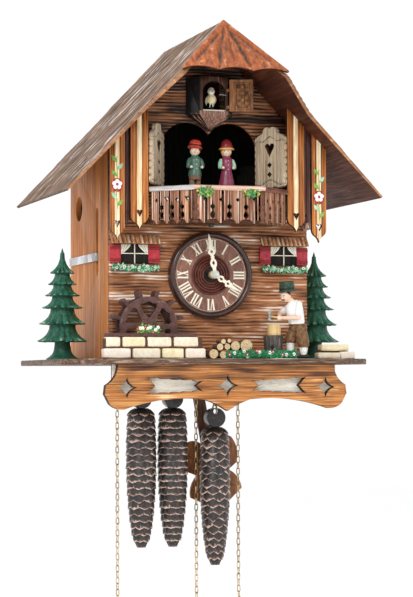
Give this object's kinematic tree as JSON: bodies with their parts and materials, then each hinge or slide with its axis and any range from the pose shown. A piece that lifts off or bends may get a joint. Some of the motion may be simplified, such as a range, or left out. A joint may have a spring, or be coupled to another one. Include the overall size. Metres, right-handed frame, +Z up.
{
  "type": "chalet cuckoo clock",
  "caption": "Wall-hung carved chalet cuckoo clock with cuckoo, dancing couple, mill wheel and woodcutter, driven by chains with pine-cone weights and a leaf pendulum.",
  "frame": {"origin": "centre of the wall hanger's hole, on the plane of the house wall", "axes": "+Y towards the house wall, +Z up, +X to the clock's right as seen from the front"},
  "size_m": [0.3468, 0.2595, 0.7193],
  "materials": {
    "dark_siding": "satin stain",
    "side_wood": "satin varnish",
    "bright_steel": "brushed",
    "weathered_wood": "matte",
    "roof_wood": "satin stain",
    "carved_orange": "satin varnish",
    "pale_wood": "matte",
    "brown_wood": "satin stain",
    "black_paint": "gloss paint",
    "red_paint": "satin paint",
    "green_paint": "satin paint",
    "dial_wood": "satin varnish",
    "cream_stone": "matte paint",
    "figure_paint": "hand painted",
    "tree_paint": "satin paint",
    "brass": "worn",
    "cream_paint": "matte",
    "cone_iron": "dark with copper edges"
  },
  "bodies": {
    "clock": {"back_cover": "side_wood", "balcony_floor": "dark_siding", "balcony_railing": "brown_wood", "base_plate": "weathered_wood", "bellows_boxes": "side_wood", "carved_shutters": "pale_wood", "case_front_wall": "dark_siding", "case_side_left": "side_wood", "case_side_right": "side_wood", "chopping_block": "weathered_wood", "cottage_windows": "black_paint", "cuckoo_bay": "brown_wood", "dial": "dial_wood", "drop_boards": "carved_orange", "drop_boards_dark": "brown_wood", "flower_boxes": "green_paint", "fretwork_returns": "pale_wood", "frieze_backing": "pale_wood", "frieze_board": "carved_orange", "hedge": "green_paint", "log_pile": "side_wood", "movement_frame": "brass", "music_box": "brass", "pine_tree_left": "tree_paint", "pine_tree_right": "tree_paint", "red_shutters": "red_paint", "roof_hip": "carved_orange", "roof_left": "roof_wood", "roof_right": "roof_wood", "stone_wall": "cream_stone", "wall_hanger": "bright_steel", "window_awnings": "brown_wood", "woodcutter_body": "figure_paint"},
    "minute_hand": {"minute_hand": "cream_paint"},
    "hour_hand": {"hour_hand": "cream_paint"},
    "cuckoo_door": {"cuckoo_door": "brown_wood"},
    "cuckoo_bird": {"cuckoo_bird": "figure_paint"},
    "dancers": {"dancer_boy": "figure_paint", "dancer_carousel": "brown_wood", "dancer_girl": "figure_paint"},
    "mill_wheel": {"mill_wheel": "brown_wood"},
    "woodcutter_arms": {"woodcutter_arms": "figure_paint"},
    "silence_lever": {"silence_lever": "bright_steel"},
    "pendulum": {"pendulum_bob": "carved_orange", "pendulum_rod": "brown_wood"},
    "time_sprocket": {"time_sprocket": "brass"},
    "time_weight": {"time_weight": "cone_iron"},
    "time_chain": {"time_chain_free": "brass", "time_chain_hank": "brass", "time_pull_ring": "brass"},
    "strike_sprocket": {"strike_sprocket": "brass"},
    "strike_weight": {"strike_weight": "cone_iron"},
    "strike_chain": {"strike_chain_free": "brass", "strike_chain_hank": "brass", "strike_pull_ring": "brass"},
    "music_sprocket": {"music_sprocket": "brass"},
    "music_weight": {"music_weight": "cone_iron"},
    "music_chain": {"music_chain_free": "brass", "music_chain_hank": "brass", "music_pull_ring": "brass"}
  },
  "joints": [
    {"name": "minute_hand_turn", "type": "hinge", "parent": "clock", "child": "minute_hand", "pos_m": [0, -0.165, -0.2117], "axis": [0, 1, 0], "continuous": true},
    {"name": "hour_hand_turn", "type": "hinge", "parent": "clock", "child": "hour_hand", "pos_m": [0, -0.165, -0.2117], "axis": [0, 1, 0], "continuous": true},
    {"name": "cuckoo_slide", "type": "slide", "parent": "clock", "child": "cuckoo_bird", "axis": [0, 1, 0], "range_m": [0, 0.03]},
    {"name": "cuckoo_door_hinge", "type": "hinge", "parent": "clock", "child": "cuckoo_door", "pos_m": [0.0144, -0.1849, -0.027], "axis": [0, 0, 1], "range_deg": [-160, 0]},
    {"name": "dancers_turn", "type": "hinge", "parent": "clock", "child": "dancers", "pos_m": [0, -0.171, -0.15], "axis": [0, 0, 1], "continuous": true},
    {"name": "mill_wheel_turn", "type": "hinge", "parent": "clock", "child": "mill_wheel", "pos_m": [-0.074, -0.165, -0.2665], "axis": [0, 1, 0], "continuous": true},
    {"name": "woodcutter_chop", "type": "hinge", "parent": "clock", "child": "woodcutter_arms", "pos_m": [0.08, -0.207, -0.244], "axis": [0, 1, 0], "range_deg": [0, 55]},
    {"name": "silence_lever_slide", "type": "slide", "parent": "clock", "child": "silence_lever", "axis": [0, 0, 1], "range_m": [-0.0125, 0.044]},
    {"name": "pendulum_swing", "type": "hinge", "parent": "clock", "child": "pendulum", "pos_m": [-0.024, -0.113, -0.182], "axis": [0, 1, 0], "range_deg": [0, 20]},
    {"name": "time_weight_drop", "type": "slide", "parent": "clock", "child": "time_weight", "axis": [0, 0, -1], "range_m": [0, 0.11]},
    {"name": "time_chain_rise", "type": "slide", "parent": "clock", "child": "time_chain", "axis": [0, 0, 1], "range_m": [0, 0.11]},
    {"name": "time_sprocket_turn", "type": "hinge", "parent": "clock", "child": "time_sprocket", "pos_m": [0.0252, -0.143, -0.255], "axis": [0, 1, 0], "range_deg": [-485.81, 0]},
    {"name": "strike_weight_drop", "type": "slide", "parent": "clock", "child": "strike_weight", "axis": [0, 0, -1], "range_m": [0, 0.11]},
    {"name": "strike_chain_rise", "type": "slide", "parent": "clock", "child": "strike_chain", "axis": [0, 0, 1], "range_m": [0, 0.11]},
    {"name": "strike_sprocket_turn", "type": "hinge", "parent": "clock", "child": "strike_sprocket", "pos_m": [-0.0216, -0.143, -0.255], "axis": [0, 1, 0], "range_deg": [-485.81, 0]},
    {"name": "music_weight_drop", "type": "slide", "parent": "clock", "child": "music_weight", "axis": [0, 0, -1], "range_m": [0, 0.11]},
    {"name": "music_chain_rise", "type": "slide", "parent": "clock", "child": "music_chain", "axis": [0, 0, 1], "range_m": [0, 0.11]},
    {"name": "music_sprocket_turn", "type": "hinge", "parent": "clock", "child": "music_sprocket", "pos_m": [-0.082, -0.143, -0.255], "axis": [0, 1, 0], "range_deg": [0, 485.81]}
  ],
  "couplings": [
    {"joint": "hour_hand_turn", "follows": "minute_hand_turn", "ratio": 0.083333},
    {"joint": "cuckoo_door_hinge", "follows": "cuckoo_slide", "rad_per_m": -92},
    {"joint": "mill_wheel_turn", "follows": "dancers_turn", "ratio": 1},
    {"joint": "time_chain_rise", "follows": "time_weight_drop", "ratio": 1},
    {"joint": "time_sprocket_turn", "follows": "time_weight_drop", "rad_per_m": -76.923},
    {"joint": "strike_chain_rise", "follows": "strike_weight_drop", "ratio": 1},
    {"joint": "strike_sprocket_turn", "follows": "strike_weight_drop", "rad_per_m": -76.923},
    {"joint": "music_chain_rise", "follows": "music_weight_drop", "ratio": 1},
    {"joint": "music_sprocket_turn", "follows": "music_weight_drop", "rad_per_m": 76.923}
  ]
}
